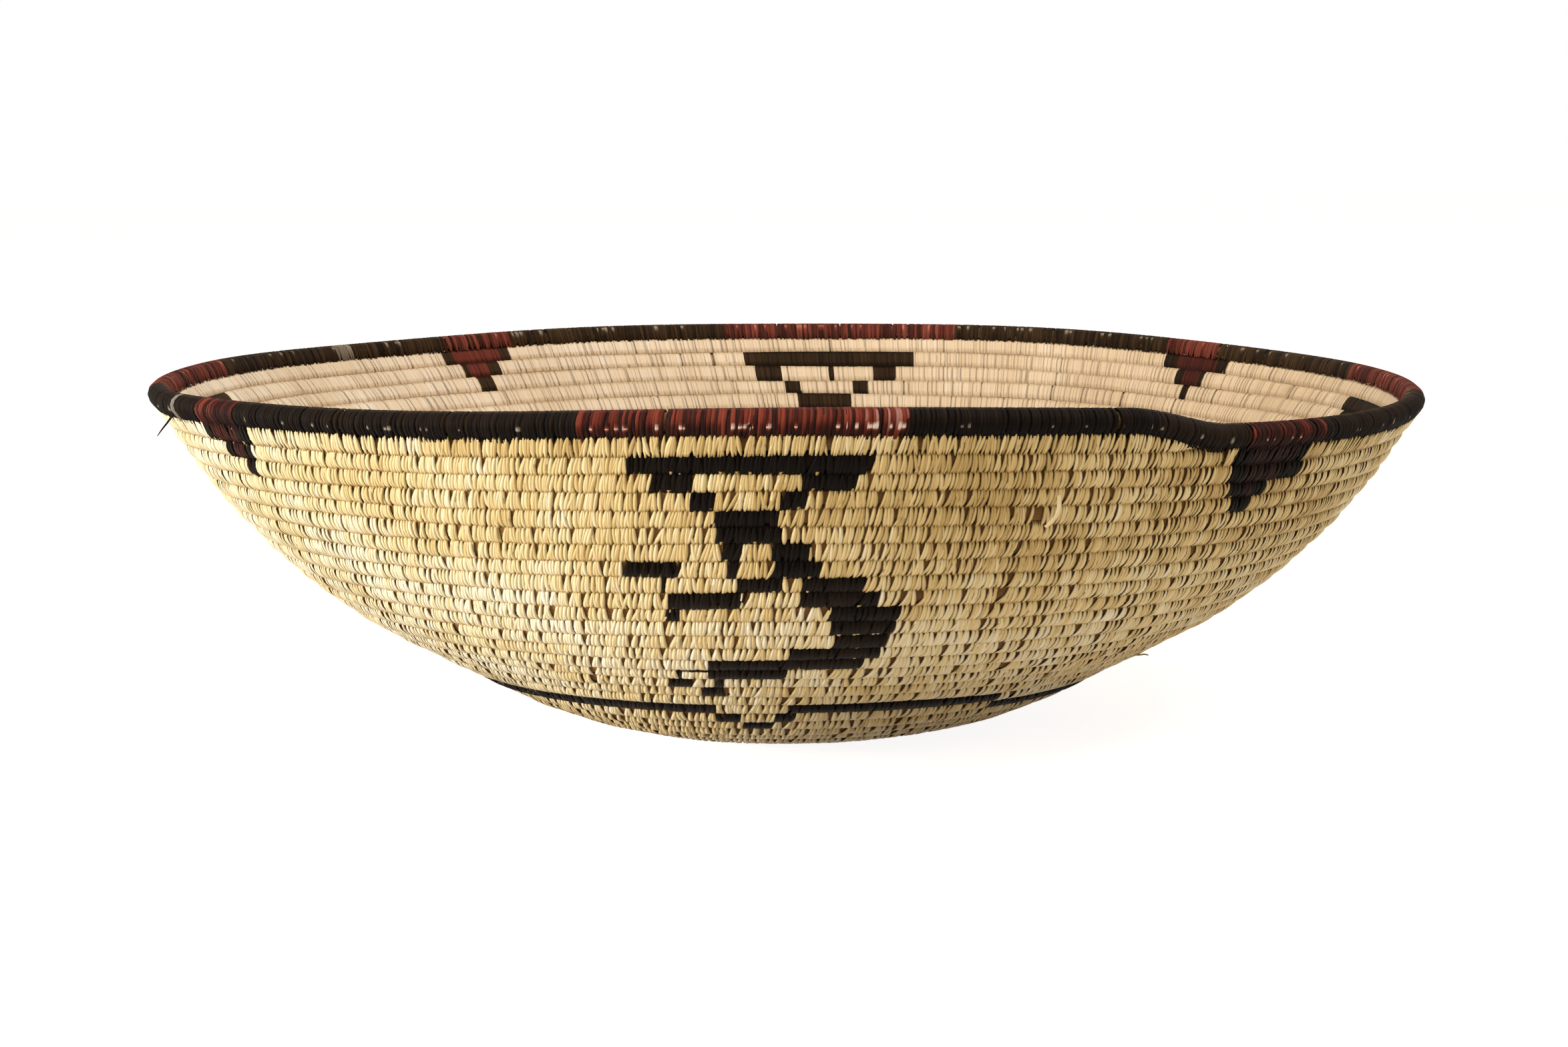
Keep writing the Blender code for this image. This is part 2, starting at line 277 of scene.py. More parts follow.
# Strands. A loop is 12 points round the course and 3 corners across the strand: its edges and its crown.
strand = {
    "spacing": 0.0021,      # 12 stitches to the inch
    "widestGap": 0.00248,   # before the maker put in another stitch
    "evening": 0.3,         # how far stitches shift to even out their gaps
    "eveningRounds": 2,
    "narrowest": 0.75,      # the room that a stitch takes, as shares of the spacing
    "widest": 1.32,
    "widthShare": 0.8,      # of that room
    "wider": 0.28,          # added on the lower courses and at the left
    "widerFrom": 5,         # courses from the rim
    "widerOver": 10,        # more courses until it is full
    "crown": 0.00016,       # how far a strand's middle stands over its edges
    "insideCrown": 0.4,     # times that on the inner side
    "bite": 0.0008,         # how far a stitch reaches down into the course below
    "unevenBite": (0.55, 1.35),  # times that
    "fullBite": 0.004,      # a course less tall than this is bitten less
    "under": 0.00012,       # how far stitches lie under the wall's faces
    "lump": 0.00012,        # how far a course swells and thins on its way
    "lumpLength": 0.021,    # of way to each radian of that
    "lumpShift": 1.7,       # radians from one course to the next
    "unevenDepth": 0.00007,
    "unevenWidth": 0.08,
    "unevenSide": 0.12,     # of the spacing
    "unevenLean": 0.11,
    "lean": 0.13,           # to the right, for each metre up
    "leftLean": 0.25,       # how much more the stitches of the left side lean
    "leanWaves": ((3, 1, 0.02),),
    "leastHeight": 0.0012,  # of a course that still takes a stitch
    "leastRadius": 0.001,   # for the turn of a strand's edges, near the middle
    "missingCourse": 5,     # from the rim; here stitches have come out
    "missingAzimuth": 20.9,
    "missingReach": 0.55,   # degrees to either side
}
cornerAcross = np.array([-0.5, 0, 0.5])


def makePath(top, outer, inner):
    # a loop's points as shares of the half height, the half wall, the width and the bite: its hidden top,
    # down the outer side, its hidden bottom and up the inner side
    bottom = (-1.0, 0, outer[-1][2], 0.3)
    return np.array([top, *outer, bottom, *[(h, -off, w, b) for h, off, w, b in reversed(inner)]])


# outside, the tops narrow between the tips of the course above, and the tips between the tops of the one
# below; inside, the strands lie flat and close together
flatInside = ((0.96, 0.78, 1.3, 0), (0.50, 0.97, 1.55, 0), (-0.48, 0.97, 1.55, 0), (-1.0, 0.78, 1.3, 0.3))
coursePath = makePath((0.96, 0, 0.6, 0), (
    (0.97, 0.50, 0.50, 0), (0.70, 0.82, 0.76, 0), (0.24, 0.99, 1.0, 0), (-0.30, 1.0, 1.04, 0),
    (-0.74, 0.88, 0.86, 0.1), (-1.0, 0.66, 0.50, 1)), flatInside)
# under the rim the pale tops stand out between the dark tips of the winding
closingPath = makePath((1.0, 0, 0.6, 0), (
    (1.32, 1.00, 0.42, 0), (0.98, 1.10, 0.66, 0), (0.40, 1.06, 1.0, 0), (-0.36, 1.0, 0.96, 0),
    (-0.76, 0.87, 0.68, 0.1), (-1.0, 0.72, 0.38, 1)), flatInside)
rimPath = makePath((1.0, 0, 1.0, 0), (
    (0.88, 0.52, 1.0, 0), (0.52, 0.88, 1.0, 0), (0.0, 1.0, 1.0, 0), (-0.50, 0.94, 0.94, 0),
    (-0.82, 0.86, 0.62, 0.1), (-1.0, 0.80, 0.36, 1)), (
    (0.85, 0.58, 1.0, 0), (0.38, 0.96, 1.0, 0), (-0.40, 0.97, 0.96, 0), (-1.0, 0.80, 0.42, 0.8)))
loopPoints = len(coursePath)
loopCorners = len(cornerAcross)
hiddenTop = (0, 1, loopPoints - 2, loopPoints - 1)   # the face rows that reach a course's top
outerTip = 5   # and the one at a stitch's outer tip


def loopFaces(count):
    # quads that join each ring of corners to the next, all round, one for each corner
    ring = np.arange(loopPoints)
    corner = np.arange(loopCorners)
    here = ring[:, None] * loopCorners + corner
    down = ((ring[:, None] + 1) % loopPoints) * loopCorners + corner
    quads = np.stack([here, down, np.roll(down, -1, 1), np.roll(here, -1, 1)], -1).reshape(-1, 4)
    return (np.arange(count)[:, None, None] * loopPoints * loopCorners + quads).reshape(-1, 4)


def makeLoops(path, low, high, half, azimuth, width, lean, bite, crown, innerLean=None):
    # arc = middle + height share * half height - bite, off = wall share * half wall; the edges sink along
    # the loop's own normal, and the strand leans along the course in step with its height
    arc = (low + high)[:, None] / 2 + (high - low)[:, None] / 2 * path[:, 0] - bite[:, None] * path[:, 3]
    off = half[:, None] * path[:, 1]
    alongArc = np.roll(arc, -1, 1) - np.roll(arc, 1, 1)
    alongOff = np.roll(off, -1, 1) - np.roll(off, 1, 1)
    length = np.hypot(alongArc, alongOff) + tiny
    normalArc, normalOff = alongOff / length, -alongArc / length
    # a strand lies flatter inside, where the awl pulled it tight
    arch = crown * np.where(path[:, 1] < 0, strand["insideCrown"], 1)[:, None]
    sink = -arch * np.array([1, 0, 1])
    cornerArc = arc[:, :, None] + normalArc[:, :, None] * sink
    cornerOff = off[:, :, None] + normalOff[:, :, None] * sink
    leans = np.where(path[:, 1] < 0, (lean if innerLean is None else innerLean)[:, None], lean[:, None])
    slant = leans * (arc - low[:, None])
    across = (width[:, None] * path[:, 2])[:, :, None] * cornerAcross + slant[:, :, None]
    radius = np.maximum(radiusAt(arc), strand["leastRadius"])
    turn = azimuth[:, None, None] + np.degrees(across / radius[:, :, None])
    return wallPoints(cornerArc, cornerOff, turn).reshape(-1, 3)


fibreMap = {
    "toCorner": 0.5,  # of the pattern, from one corner of a strand to the next
    "shift": 60,      # each strand has its own place on it
    "shiftAlong": 0.37,
}
bakeCell = {   # each stitch has one cell of a square, and these are shares of it
    "margin": 0.02,
    "corners": (0, 0.45, 0.90, 0.96),
    "tall": 0.96,
}


def loopMaps(count, strip):
    # fibre map: across the strand, and along it from its top; bake map: the cells, above a strip that is
    # kept for the stems
    ring = np.arange(loopPoints)[:, None] * np.ones(loopCorners)
    corner = np.ones(loopPoints)[:, None] * np.arange(loopCorners)
    u = np.stack([corner, corner, corner + 1, corner + 1], -1).reshape(-1, 4)
    v = np.stack([ring, ring + 1, ring + 1, ring], -1).reshape(-1, 4)
    shift = chance.random((count, 1, 1)) * fibreMap["shift"]
    across = u * fibreMap["toCorner"] + shift
    fibre = np.stack([across, v / loopPoints + shift * fibreMap["shiftAlong"]], -1)
    side = math.ceil(math.sqrt(count))
    column, row = np.arange(count) % side, np.arange(count) // side
    cellU = np.array(bakeCell["corners"])[u.astype(int)]
    cellV = v / loopPoints * bakeCell["tall"]
    bakeU = (column[:, None, None] + bakeCell["margin"] + cellU) / side
    bakeV = strip + (1 - strip) * (row[:, None, None] + bakeCell["margin"] + cellV) / side
    return fibre.reshape(-1, 2), np.stack([bakeU, bakeV], -1).reshape(-1, 2)


# The stem bundle under the stitches: an oval carried along the coil
bundle = {
    "corners": 8,
    "thinner": 0.0007,     # than the sewing round it
    "taller": 0.00012,     # it presses into the course below, so no light comes through
    "least": 0.0002,       # half size, where a course has thinned away
    "leastHeight": 0.001,  # of a course that still has stems
    "step": 0.0045,        # between its sections
    "fewest": 20,          # sections to a course
    "bakeStrip": 0.06,
    "fibresAround": 4,     # repeats of the fibre pattern round it
    "fibresAlong": 9,      # and along it
    "tone": 0.4,
    "ridge": 0.5,          # it lies half deep in the cracks
    "endPlace": 0.001,     # of its end faces, on both maps
}


def tubeFaces(rings, corners):
    # a tube's quads, its two ends, and the steps along and around it at each quad's corners; with corners
    # from the top outwards and rings to the right, the quads face out
    ring, corner = np.meshgrid(np.arange(rings - 1), np.arange(corners), indexing="ij")
    after = (corner + 1) % corners
    quads = np.stack([ring * corners + corner, ring * corners + after, (ring + 1) * corners + after,
                      (ring + 1) * corners + corner], -1).reshape(-1, 4)
    ends = [tuple(range(corners))[::-1], tuple((rings - 1) * corners + k for k in range(corners))]
    along = np.stack([ring, ring, ring + 1, ring + 1], -1).reshape(-1, 4)
    around = np.stack([corner, corner + 1, corner + 1, corner], -1).reshape(-1, 4)
    return quads, ends, along, around


def makeBundle(stations, low, high, half):
    # corner k of a section: arc = middle + half height cos(2 pi k / 8), off = half wall sin(2 pi k / 8)
    count, corners = len(stations), bundle["corners"]
    turn = math.tau * np.arange(corners) / corners
    tall = np.maximum((high - low) / 2 + bundle["taller"], bundle["least"])
    wide = np.maximum(half - bundle["thinner"], bundle["least"])
    arc = (low + high)[:, None] / 2 + tall[:, None] * np.cos(turn)
    off = wide[:, None] * np.sin(turn)
    verts = wallPoints(arc, off, stations[:, None] * np.ones(corners)).reshape(-1, 3)
    quads, ends, along, around = tubeFaces(count, corners)
    u = along / (count - 1)
    v = around / corners
    fibre = np.stack([v * bundle["fibresAround"], u * bundle["fibresAlong"]], -1).reshape(-1, 2)
    bake = np.stack([u, v * bundle["bakeStrip"] * bakeCell["tall"]], -1).reshape(-1, 2)
    inside = np.broadcast_to(np.sin(turn) < 0, (count, corners)).reshape(-1).astype(float)
    return {"verts": verts, "quads": quads, "ends": ends, "dye": np.full(len(quads), stems),
            "tone": np.full(len(verts), bundle["tone"]), "inside": inside,
            "ridge": np.full(len(verts), bundle["ridge"]), "fibre": fibre, "bake": bake}


# Meshes. A part has corners, faces, end faces, a material for each face, and tones, sides, ridges and maps
def sewing(verts, dye, tone, strip, worn=np.zeros(1)):
    # the part that stitches make, with a tone for each of them or for each ring of its corners
    count = len(verts) // (loopPoints * loopCorners)
    ridge = np.tile(np.array([0, 1.0, 0]), (count, loopPoints, 1))
    ridge[:, :, [0, 2]] += worn[:, None, None]   # on the lit side the edge ridge is raised, so the painted crack shade there fades
    inside = np.broadcast_to((coursePath[:, 1] < 0)[None, :, None], ridge.shape)
    tone = np.broadcast_to(tone.reshape(count, -1, 1), ridge.shape)
    fibre, bake = loopMaps(count, strip)
    return {"verts": verts, "quads": loopFaces(count), "ends": [], "dye": dye, "tone": tone.reshape(-1),
            "inside": inside.reshape(-1).astype(float), "ridge": ridge.reshape(-1), "fibre": fibre,
            "bake": bake}


def makePiece(name, node, slotName, *parts):
    # one mesh of all its parts, with the four strand materials
    shifts = np.cumsum([0] + [len(part["verts"]) for part in parts])
    joined = {key: np.concatenate([part[key] for part in parts])
              for key in ("verts", "dye", "tone", "inside", "ridge", "fibre", "bake")}
    quads = np.concatenate([part["quads"] + shift for part, shift in zip(parts, shifts)])
    endFaces = [np.array(face) + shift for part, shift in zip(parts, shifts) for face in part["ends"]]
    sizes = np.concatenate([np.full(len(quads), 4), [len(face) for face in endFaces]]).astype(np.int32)
    corners = np.concatenate([quads.reshape(-1), *endFaces]).astype(np.int32)
    mesh = bpy.data.meshes.new(name)
    mesh.vertices.add(len(joined["verts"]))
    mesh.vertices.foreach_set("co", joined["verts"].astype(np.float32).reshape(-1))
    mesh.loops.add(len(corners))
    mesh.loops.foreach_set("vertex_index", corners)
    mesh.polygons.add(len(sizes))
    mesh.polygons.foreach_set("loop_start", np.append(0, np.cumsum(sizes)[:-1]).astype(np.int32))
    mesh.polygons.foreach_set("loop_total", sizes)
    mesh.polygons.foreach_set("use_smooth", np.ones(len(sizes), bool))
    for material in strandMaterials:
        mesh.materials.append(material)
    index = np.append(joined["dye"], np.full(len(endFaces), joined["dye"][-1])).astype(np.int32)
    mesh.polygons.foreach_set("material_index", index)
    endCorners = len(corners) - len(quads) * 4
    for mapName, key in (("fibre", "fibre"), ("OFBake", "bake")):
        places = np.concatenate([joined[key], np.full((endCorners, 2), bundle["endPlace"])])
        layer = mesh.uv_layers.new(name=mapName, do_init=False)
        layer.uv.foreach_set("vector", places.astype(np.float32).reshape(-1))
    for key in ("tone", "inside", "ridge"):
        mesh.attributes.new(key, "FLOAT", "POINT").data.foreach_set("value", joined[key].astype(np.float32))
    mesh.update()
    mesh.validate()
    piece = placeObject(name, mesh)
    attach(piece, "root")
    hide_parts(node)


# Materials
# Split bear grass or sotol, undyed: a dry leaf strip with fine lengthwise fibres and a low waxy shine,
# from cream to gold as the strips come, with painted shade and dirt in the cracks, and painted paler on the
# lit side.
strawLook = {
    "tones": ("#B6975A", "#D4B87C", "#E2CB96", "#EADBB6", "#F4E9CE"),
    "insideTones": ("#B49874", "#C3A884", "#CEB492", "#D8C1A3", "#E3D2B8"),
    "crack": "#4E300E", "crackShare": 0.75, "fibre": "#A07C42", "fibreShare": 0.25,
    "roughness": 0.52, "specular": 0.4, "bump": 0.2, "wander": 0.8, "flatInside": 0.75,
}
# The same strips boiled in a black dye: nearly even, with a brown cast where it has worn thin; its palest
# tone is for worn spots, which on the rim are partly painted glints
blackLook = {
    "tones": ("#080504", "#0D0805", "#140D08", "#20160E", "#94887A"),
    "insideTones": ("#140D06", "#1E140A", "#2C1E10", "#3E2C1A", "#8A7C68"),
    "crack": "#040302", "crackShare": 0.7, "fibre": "#3A2C1E", "fibreShare": 0.15,
    "roughness": 0.65, "specular": 0.05, "bump": 0.2, "wander": 0.25, "flatInside": 0.5,
}
# And in a red-brown root dye, which takes unevenly
redLook = {
    "tones": ("#120504", "#260C08", "#4A1A10", "#783424", "#DCCBBE"),
    "insideTones": ("#2A0F0A", "#401A12", "#5A261B", "#703629", "#A8624E"),
    "crack": "#0A0302", "crackShare": 0.8, "fibre": "#A86A58", "fibreShare": 0.12,
    "roughness": 0.65, "specular": 0.06, "bump": 0.2, "wander": 0.4, "flatInside": 0.5,
}
# The grass stems of the bundle, seen only in the cracks: dull brown
stemLook = {
    "tones": ("#4C3418", "#5C4020", "#6C4C26", "#7E5A32", "#947044"),
    "insideTones": ("#8A6A44", "#9A7A52", "#AA8A60", "#B8986C", "#C6A87C"),
    "crack": "#2E1E0C", "crackShare": 0.3, "fibre": "#3A2810", "fibreShare": 0.3,
    "roughness": 0.8, "specular": 0.2, "bump": 0.3, "wander": 0.8, "flatInside": 0.0,
}
grain = {
    "across": 9.0,        # streaks over a strand's width
    "along": 2.2,         # and over a loop's length
    "streakFrom": 0.45,   # the noise from which a streak shows
    "streakTo": 0.75,     # and shows in full
    "patches": 38.0,      # to the metre, where a strand's tone wanders
    "crackReach": 0.42,   # of the way from a strand's edge to its crown
    "insideCrack": 0.08,  # times as dark on the inner side
    "bumpDepth": 0.0002,
}


def makeStrandMaterial(name, look):
    material = bpy.data.materials.new(name)
    tree = emptyTree(material)
    tone, inside, ridge = [addNode(tree, "Attribute", attribute_name=key).outputs["Fac"]
                           for key in ("tone", "inside", "ridge")]
    uv = addNode(tree, "UVMap", uv_map="fibre")
    place = addNode(tree, "TexCoord").outputs["Object"]
    stretched = addNode(tree, "Mapping", {"Vector": uv, "Scale": (grain["across"], grain["along"], 1)})
    streak = addNode(tree, "TexNoise", {"Vector": stretched, "Scale": 1.0, "Detail": 3.0, "Roughness": 0.6})
    patch = addNode(tree, "TexNoise", {"Vector": place, "Scale": grain["patches"], "Detail": 2.0})
    # a strand's tone wanders with the patch noise
    shifted = addNode(tree, "Math", {0: patch, 1: 0.5}, operation="SUBTRACT")
    wandering = addNode(tree, "Math", {0: shifted, 1: look["wander"], 2: tone}, operation="MULTIPLY_ADD")
    ramps = []
    for key in ("tones", "insideTones"):
        ramp = addNode(tree, "ValToRGB", {"Fac": wandering})
        stops = ramp.color_ramp.elements
        for step in (1, 2, 3):
            stops.new(step / 4)
        for stop, shade in zip(stops, look[key]):
            stop.color = linearColour(shade)
        ramps.append(ramp)
    colour = addNode(tree, "Mix", {"Factor": inside, 6: ramps[0], 7: ramps[1]}, data_type="RGBA").outputs[2]
    fine = addNode(tree, "MapRange", {
        "Value": streak, "From Min": grain["streakFrom"], "From Max": grain["streakTo"], "To Min": 0.0,
        "To Max": look["fibreShare"]})
    # painted shade and dirt darken each strand towards its edges
    low = addNode(tree, "MapRange", {
        "Value": ridge, "From Min": 0.0, "From Max": grain["crackReach"], "To Min": look["crackShare"],
        "To Max": 0.0})
    # painted shade and dirt show less in the cracks of the inner side
    insideFade = addNode(tree, "MapRange", {"Value": inside, "To Min": 1.0, "To Max": grain["insideCrack"]})
    cracks = addNode(tree, "Math", {0: low, 1: insideFade}, operation="MULTIPLY")
    for share, shade in ((fine, "fibre"), (cracks, "crack")):
        colour = addNode(tree, "Mix", {"Factor": share, 6: colour, 7: linearColour(look[shade])},
                         data_type="RGBA").outputs[2]
    # the inner side was rubbed flat, so its shading follows the faces more than the edges
    geometry = addNode(tree, "NewGeometry").outputs
    flat = addNode(tree, "Math", {0: inside, 1: look["flatInside"]}, operation="MULTIPLY")
    normal = addNode(tree, "Mix", {"Factor": flat, 4: geometry["Normal"], 5: geometry["True Normal"]},
                     data_type="VECTOR").outputs[1]
    bump = addNode(tree, "Bump", {"Height": streak, "Strength": look["bump"], "Distance": grain["bumpDepth"],
                                  "Normal": normal})
    shader = addNode(tree, "BsdfPrincipled", {
        "Base Color": colour, "Roughness": look["roughness"], "IOR": 1.45,
        "Specular IOR Level": look["specular"], "Normal": bump})
    addNode(tree, "OutputMaterial", {"Surface": shader}).is_active_output = True
    material.diffuse_color = linearColour(look["tones"][2])
    return material


strandMaterials = [makeStrandMaterial(name, look) for name, look in (
    ("split_grass_undyed", strawLook), ("split_grass_black_dye", blackLook),
    ("split_grass_red_dye", redLook), ("grass_stems_packed", stemLook))]
print("materials made")


# The courses. A tone runs from 0, the darkest colour of its look, to 1, the palest
toneSpread = {
    "middle": 0.56,
    "batch": 0.09,   # from one leaf to the next
    "stitch": 0.15,  # from one stitch to the next
    "least": 0.02,
    "run": 24,       # stitches of the wall from one leaf
}
# Tone shifts of the courses: most are painted light and shade, as each says; the red, the dyed limit and the
# bare tips are the stitches' own colour
patinaAndPaintedLight = {
    "litSideAzimuth": -75,    # azimuth of the side the key lamp lights
    # painted light: straw stitches are paler on the lit side
    "bleach": 0.20,
    "farSideShade": -0.05,   # times that on the far side, as painted shade
    "litSideEvenness": 0.35,      # painted light: how far tones draw together on the lit side, and apart on the far one, standing for raking light
    "litEdgeFade": 0.36,      # how far the painted crack shade fades on the lit side
    "litStemLift": 0.6,            # painted light on the stems of that side
    "insideMiddle": 0.50,
    "insideSpread": 0.4,
    # painted light on the inner side towards the lit side, and painted shade opposite
    "insideLitSideLift": 0.25,
    "insideSeam": 0.4,      # painted shade: how much darker a stitch is at its ends, in the seams
    "insideSeamFrom": 0.7,  # of its half height
    # painted shade in the outer seams between courses
    "outsideSeam": 0.3,
    "outsideSeamFrom": 0.9,
    "wallRed": 0.28,        # times the tone: a red stitch on the wall is a dark one
    "palestDyed": 0.6,      # tone of a dyed stitch on the wall
    "baseShade": 0.42,           # painted shade: how much darker it is under the ring line, towards the base
    "baseShadeFrom": 3,          # courses above the ring line
    "baseShadeOver": 6,          # courses until it is full
    "bareTips": 0.07,       # share of the black stitches with bare tips
    "rimShade": 0.42,          # painted shade below the front of the rim
    "rimShadeFrom": 12,        # courses from the rim
    "rimShadeOver": 7,         # courses until it is full
    "rimShadeAzimuth": 5,
    "rimShadePower": 4,        # the higher, the narrower
}


def litSideAt(azimuth):
    # from 1 on the lit side to -1 on the far one
    return np.cos(np.radians(azimuth - patinaAndPaintedLight["litSideAzimuth"]))


def toneRuns(count, runLength):
    # strands are cut from one leaf after another, so a tone holds for a run of stitches
    starts = chance.random(count) < 1 / runLength
    batch = chance.normal(toneSpread["middle"], toneSpread["batch"], count)[np.cumsum(starts)]
    return np.clip(batch + chance.normal(0, toneSpread["stitch"], count), toneSpread["least"], 1)


def courseTones(fromRim, azimuth):
    underRing = smoothStep((fromRim - figure["ringCourse"] + patinaAndPaintedLight["baseShadeFrom"]) / patinaAndPaintedLight["baseShadeOver"])
    nearRim = smoothStep((patinaAndPaintedLight["rimShadeFrom"] - fromRim) / patinaAndPaintedLight["rimShadeOver"])
    towardFront = (0.5 + 0.5 * np.cos(np.radians(azimuth - patinaAndPaintedLight["rimShadeAzimuth"]))) ** patinaAndPaintedLight["rimShadePower"]
    # painted shade: darker under the ring line, towards the base
    tone = toneRuns(len(azimuth), toneSpread["run"]) - patinaAndPaintedLight["baseShade"] * underRing
    # painted shade under the front of the rim
    return tone - patinaAndPaintedLight["rimShade"] * nearRim * towardFront


def tonesWithPaintedLight(tone, azimuth, dye):
    # a tone for each point of each stitch's loop, outside and inside, with painted light on the lit side and
    # painted shade at the seams
    facing = litSideAt(azimuth)
    middle = toneSpread["middle"]
    tone = np.where(dye == red, tone * patinaAndPaintedLight["wallRed"], tone)
    # painted light: tones even out on the lit side and spread apart on the far side
    outside = middle + (tone - middle) * (1 - patinaAndPaintedLight["litSideEvenness"] * facing)
    # painted light: straw is paler on the lit side, and a little darker on the far side as painted shade
    outside = outside + patinaAndPaintedLight["bleach"] * np.maximum(facing, patinaAndPaintedLight["farSideShade"]) * (dye == straw)
    within = middle + (tone - patinaAndPaintedLight["insideMiddle"]) * patinaAndPaintedLight["insideSpread"]
    # painted light and shade: the inner side is lighter towards the lit side and darker opposite
    within = within + patinaAndPaintedLight["insideLitSideLift"] * facing
    # painted shade at the seams between courses, inside and outside
    height = np.abs(coursePath[:, 0])
    within = within[:, None] - patinaAndPaintedLight["insideSeam"] * (height > patinaAndPaintedLight["insideSeamFrom"])
    outside = outside[:, None] - patinaAndPaintedLight["outsideSeam"] * (height > patinaAndPaintedLight["outsideSeamFrom"])
    most = np.where(dye == straw, 1, patinaAndPaintedLight["palestDyed"])[:, None]
    return np.clip(np.where(coursePath[:, 1] < 0, within, outside), toneSpread["least"], most)


def leanAt(azimuth):
    # lean - leftLean sin(azimuth) (1 + cos(azimuth)) + its slow wave: most of the maker's stitches lean to
    # the right, and those of the front left the most
    turn = np.radians(azimuth)
    left = strand["leftLean"] * np.sin(turn) * (1 + np.cos(turn))
    return strand["lean"] - left + waveSum(strand["leanWaves"], turn)


def courseEdges(turn, share):
    high = rimSeat(share) if turn == coil["turns"] - 1 else seam(turn + 1 + share)
    return seam(turn + share), high


def neighbours(shares):
    # the place before each stitch and the one after it, all round
    before = np.roll(shares, 1) - (np.arange(len(shares)) == 0)
    after = np.roll(shares, -1) + (np.arange(len(shares)) == len(shares) - 1)
    return before, after


def nextShares(shares, leans, rise, radiusBelow, radius):
    # a stitch dives in between the tops of two below it, and where those stand wide apart there are two
    tops = np.sort((shares + leans * rise / (math.tau * radiusBelow)) % 1)
    gaps = np.diff(np.append(tops, tops[0] + 1))
    wide = gaps * math.tau * radius > strand["widestGap"]
    places = np.concatenate([(tops + gaps / 2)[~wide], (tops + gaps / 3)[wide], (tops + gaps * 2 / 3)[wide]])
    places = np.sort(places % 1)
    for _ in range(strand["eveningRounds"]):
        before, after = neighbours(places)
        places = places + strand["evening"] * ((before + after) / 2 - places)
    jitter = chance.normal(0, strand["unevenSide"] * strand["spacing"] / (math.tau * radius), len(places))
    return np.sort((places + jitter) % 1)


def strandWidths(shares, radius, uneven):
    # half the way between a stitch's neighbours, within what a strand can be
    before, after = neighbours(shares)
    room = (after - before) / 2 * math.tau * radius
    room = np.clip(room, strand["narrowest"] * strand["spacing"], strand["widest"] * strand["spacing"])
    return room * (1 + chance.normal(0, uneven, len(shares)))


def makeCore(turn, radius):
    # a course's stems, painted lighter on the lit side
    stations = np.linspace(0, 1, max(bundle["fewest"], int(math.tau * radius / bundle["step"])))
    low, high = courseEdges(turn, stations)
    kept = high - low > bundle["leastHeight"]
    stations, low, high = stations[kept], low[kept], high[kept]
    azimuth = azimuthAt(stations)
    core = makeBundle(azimuth, low, high, np.minimum(bowl["wall"] / 2, high - low))
    # painted light on the stems of the lit side
    litStemLift = patinaAndPaintedLight["litStemLift"] * np.maximum(litSideAt(azimuth), 0)
    core["tone"] = core["tone"] + np.repeat(litStemLift, bundle["corners"])
    # the stems have taken up dye under the dark stitches
    dye = dyeOfStitches(coil["turns"] - turn, (azimuth[1:] + azimuth[:-1]) / 2, radius)[0]
    core["dye"] = np.repeat(np.where(dye == straw, stems, black), bundle["corners"])
    return core


def makeCourse(turn, shares, leans):
    closing = turn == coil["turns"] - 1
    fromRim = coil["turns"] - turn
    radius = radiusAt(seam(turn + 0.5))
    azimuth = azimuthAt(shares)
    # the lower courses and the left side were sewn with wider strands, which show hardly any gaps
    down = smoothStep((fromRim - strand["widerFrom"]) / strand["widerOver"])
    wider = strand["wider"] * np.maximum(litSideAt(azimuth), down)
    width = (strand["widthShare"] + wider) * strandWidths(shares, radius, strand["unevenWidth"])
    low, high = courseEdges(turn, shares)
    kept = high - low > strand["leastHeight"]   # the last stitches stop where the closing course thins away
    if fromRim == strand["missingCourse"]:
        kept &= np.abs(degreesAside(azimuth, strand["missingAzimuth"])) > strand["missingReach"]
    shares, azimuth, leans = shares[kept], azimuth[kept], leans[kept]
    width, low, high = width[kept], low[kept], high[kept]
    count = len(shares)
    along = math.tau * shares * radius
    lump = strand["lump"] * np.sin(along / strand["lumpLength"] + turn * strand["lumpShift"])
    half = bowl["wall"] / 2 - strand["under"] + lump - np.abs(chance.normal(0, strand["unevenDepth"], count))
    half = np.minimum(half, high - low)
    bite = strand["bite"] * chance.uniform(*strand["unevenBite"], count)
    bite = bite * np.clip((high - low) / strand["fullBite"], 0, 1)
    path = closingPath if closing else coursePath
    verts = makeLoops(path, low, high, half, azimuth, width, leans, bite, strand["crown"], leanAt(azimuth))
    leaning = azimuth + np.degrees(leans * (high - low) / 2 / radius)   # where a stitch is at half height
    dye, topOnly = dyeOfStitches(fromRim, leaning, radius)
    faceDye = np.tile(dye[:, None, None], (1, loopPoints, loopCorners))
    bare = np.flatnonzero((chance.random(count) < patinaAndPaintedLight["bareTips"]) & (dye == black))
    faceDye[bare, outerTip] = straw
    faceDye[np.ix_(topOnly, hiddenTop)] = black
    tone = tonesWithPaintedLight(courseTones(fromRim, azimuth), azimuth, dye)
    # painted light: the crack shade at the edges fades on the lit side
    worn = patinaAndPaintedLight["litEdgeFade"] * np.maximum(litSideAt(azimuth), 0)
    node = "closing_course" if closing else "course_%02d" % (turn + 1)
    slotName = sewingSlots[black if fromRim == figure["ringCourse"] else straw]
    stitches = sewing(verts, faceDye.reshape(-1), tone, bundle["bakeStrip"], worn)
    makePiece("sewn_" + node, node, slotName, stitches, makeCore(turn, radius))
    return count


